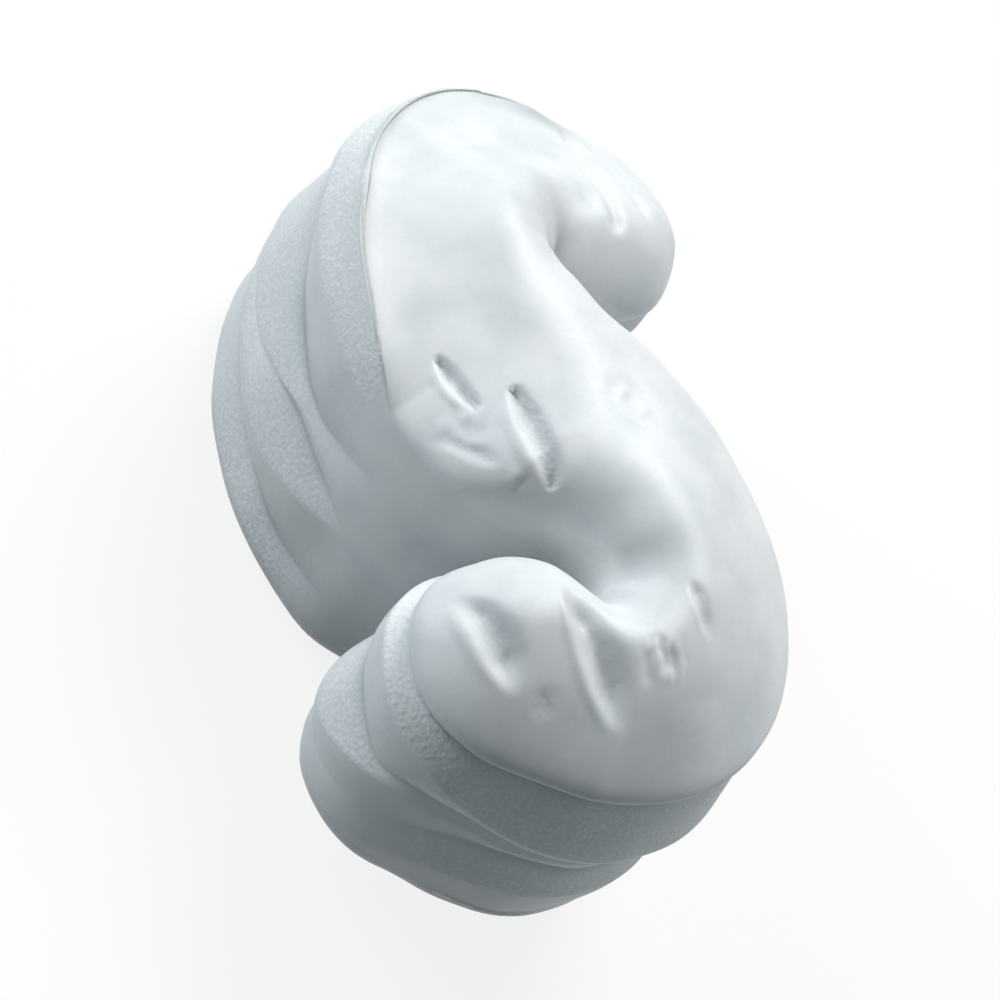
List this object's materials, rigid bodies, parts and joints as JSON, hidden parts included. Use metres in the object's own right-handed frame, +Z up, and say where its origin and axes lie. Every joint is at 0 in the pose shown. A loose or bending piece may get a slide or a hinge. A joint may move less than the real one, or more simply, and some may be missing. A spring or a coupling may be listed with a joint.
{
  "type": "packing peanut",
  "caption": "S-shaped piece of expanded foam that fills the space round goods in a box and cushions them.",
  "frame": {"origin": "middle of the base of the bounding box, on the plane that the cut back face rests on", "axes": "+Z up, out of the rounded front of the S; +Y along the S towards its upper hook; +X to the right of the S seen from the front"},
  "size_m": [0.0218, 0.0402, 0.0212],
  "materials": {
    "foam": "satin off-white expanded foam with a fine cell texture"
  },
  "bodies": {
    "root": {"foam_peanut": "foam"}
  },
  "joints": []
}
